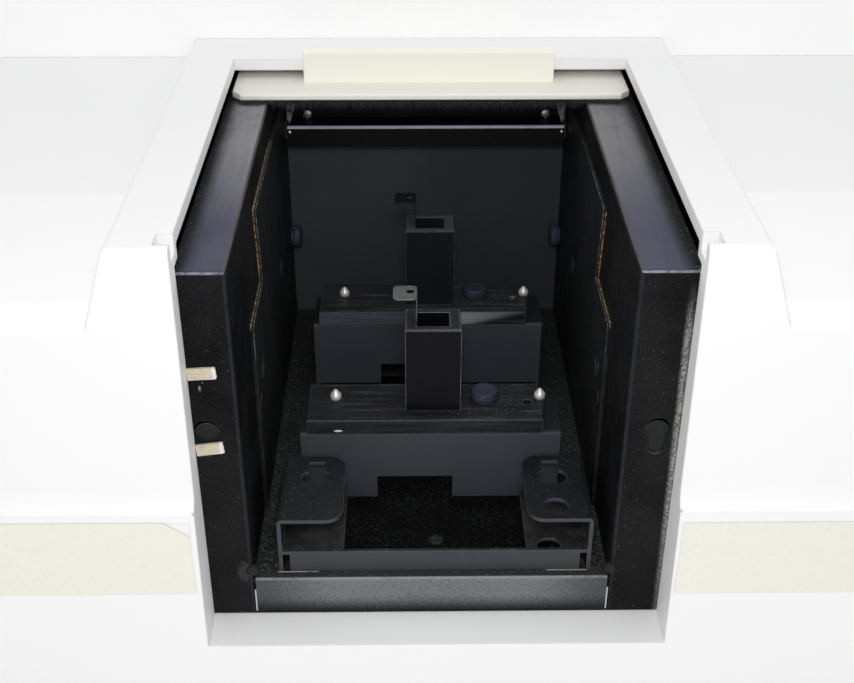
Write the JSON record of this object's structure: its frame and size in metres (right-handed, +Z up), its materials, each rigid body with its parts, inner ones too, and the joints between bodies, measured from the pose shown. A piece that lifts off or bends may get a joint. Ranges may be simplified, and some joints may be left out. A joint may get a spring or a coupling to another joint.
{
  "type": "double-beam spectrophotometer",
  "caption": "White bench instrument with a sliding lid over a black sample compartment holding cell blocks on pedestals.",
  "frame": {"origin": "under the middle of the case, on the surface it stands on", "axes": "+X to the instrument's right as seen from its front, +Y to its back, +Z up"},
  "size_m": [1.02, 0.71, 0.38],
  "materials": {
    "case_white": "fine satin enamel",
    "strip_beige": "matte vinyl",
    "black_sheet": "flat black stove enamel",
    "liner_black": "flat black with bare cut edges",
    "lid_cream": "satin enamel",
    "handle_cream": "fine grain moulding",
    "felt": "pressed felt",
    "foam": "open foam",
    "grey_paint": "flat grey enamel",
    "base_black": "brushed and anodised black",
    "knob_slate": "knurled and anodised",
    "spring_steel": "brushed",
    "back_steel": "satin enamel",
    "tray_zinc": "zinc plated",
    "foot_rubber": "matte",
    "casting": "as cast",
    "inner_black": "anodised black",
    "motor_steel": "plated",
    "window_glass": "polished",
    "lamp_glass": "clear",
    "mirror_coat": "first-surface coating",
    "board_green": "solder mask",
    "supply_core": "varnished laminations",
    "black_plastic": "moulded",
    "plated_shell": "nickel plated"
  },
  "bodies": {
    "case": {"upper_cover": "case_white", "lower_front_panel": "case_white", "rear_top_cover": "case_white", "side_skirts": "case_white", "front_strips": "strip_beige", "rail_frame_left": "black_sheet", "rail_frame_right": "black_sheet", "front_lip": "black_sheet", "compartment_floor": "black_sheet", "back_wall": "black_sheet", "back_ledge": "black_sheet", "side_liners": "liner_black", "keyhole_plates": "black_sheet", "lid_guides": "black_sheet", "foam_pads": "foam", "accessory_bracket": "grey_paint", "pedestal_front": "grey_paint", "pedestal_rear": "grey_paint", "rear_panel": "back_steel", "chassis_tray": "tray_zinc", "feet": "foot_rubber", "base_isolators": "foot_rubber", "optical_base": "casting", "monochromator_housing": "casting", "monochromator_cover": "casting", "source_housing": "tray_zinc", "source_lamps": "lamp_glass", "mirror_mounts": "casting", "mirrors": "mirror_coat", "beam_windows": "window_glass", "detector_housing": "inner_black", "photomultiplier": "lamp_glass", "stepper_motors": "motor_steel", "control_board": "board_green", "power_supply": "supply_core", "fan_frame": "black_plastic", "mains_inlet": "black_plastic", "rocker_frame": "black_plastic", "data_connector": "plated_shell"},
    "lid": {"lid_plate": "lid_cream", "lid_handle": "handle_cream", "lid_felt": "felt"},
    "front_block": {"cell_base_front": "base_black", "cell_holder_front": "inner_black", "spring_clip_front": "spring_steel"},
    "rear_block": {"cell_base_rear": "base_black", "cell_holder_rear": "inner_black", "spring_clip_rear": "spring_steel"},
    "front_screw": {"thumbscrew_front": "knob_slate"},
    "rear_screw": {"thumbscrew_rear": "knob_slate"},
    "left_knob": {"side_knob_left": "knob_slate"},
    "right_knob": {"side_knob_right": "knob_slate"},
    "grating_table": {"grating_turret": "inner_black", "grating": "mirror_coat"},
    "slit_wheel": {"slit_disc": "inner_black"},
    "lamp_selector": {"source_mirror": "mirror_coat"},
    "filter_disc": {"filter_wheel": "inner_black"},
    "chopper_disc": {"beam_chopper": "mirror_coat"},
    "fan_wheel": {"fan_rotor": "black_plastic"},
    "rocker": {"power_rocker": "black_plastic"}
  },
  "joints": [
    {"name": "lid_slide", "type": "slide", "parent": "case", "child": "lid", "axis": [0, 1, 0], "range_m": [-0.187, 0]},
    {"name": "front_block_lift", "type": "slide", "parent": "case", "child": "front_block", "axis": [0, 0, 1], "range_m": [0, 0.045]},
    {"name": "rear_block_lift", "type": "slide", "parent": "case", "child": "rear_block", "axis": [0, 0, 1], "range_m": [0, 0.045]},
    {"name": "front_screw_turn", "type": "hinge", "parent": "front_block", "child": "front_screw", "pos_m": [0.124, -0.2604, 0.1423], "axis": [0, 0, 1], "continuous": true},
    {"name": "rear_screw_turn", "type": "hinge", "parent": "rear_block", "child": "rear_screw", "pos_m": [0.124, -0.1604, 0.1423], "axis": [0, 0, 1], "continuous": true},
    {"name": "left_knob_turn", "type": "hinge", "parent": "case", "child": "left_knob", "pos_m": [0.0195, -0.0948, 0.146], "axis": [1, 0, 0], "continuous": true},
    {"name": "right_knob_turn", "type": "hinge", "parent": "case", "child": "right_knob", "pos_m": [0.1765, -0.0948, 0.146], "axis": [1, 0, 0], "continuous": true},
    {"name": "grating_turn", "type": "hinge", "parent": "case", "child": "grating_table", "pos_m": [-0.264, -0.0362, 0.162], "axis": [0, 0, 1], "range_deg": [-30, 40]},
    {"name": "slit_disc_turn", "type": "hinge", "parent": "case", "child": "slit_wheel", "pos_m": [-0.1782, -0.1067, 0.144], "axis": [0, 1, 0], "continuous": true},
    {"name": "source_mirror_turn", "type": "hinge", "parent": "case", "child": "lamp_selector", "pos_m": [-0.44, 0.0628, 0.11], "axis": [0, 0, 1], "range_deg": [0, 90]},
    {"name": "filter_wheel_turn", "type": "hinge", "parent": "case", "child": "filter_disc", "pos_m": [-0.341, 0.0628, 0.138], "axis": [1, 0, 0], "continuous": true},
    {"name": "chopper_spin", "type": "hinge", "parent": "case", "child": "chopper_disc", "pos_m": [-0.064, -0.2104, 0.162], "axis": [1, 0, 0], "continuous": true},
    {"name": "fan_spin", "type": "hinge", "parent": "case", "child": "fan_wheel", "pos_m": [-0.23, 0.3278, 0.21], "axis": [0, 1, 0], "continuous": true},
    {"name": "power_rocker_tip", "type": "hinge", "parent": "case", "child": "rocker", "pos_m": [0.455, 0.341, 0.1], "axis": [1, 0, 0], "range_deg": [0, 18]}
  ]
}
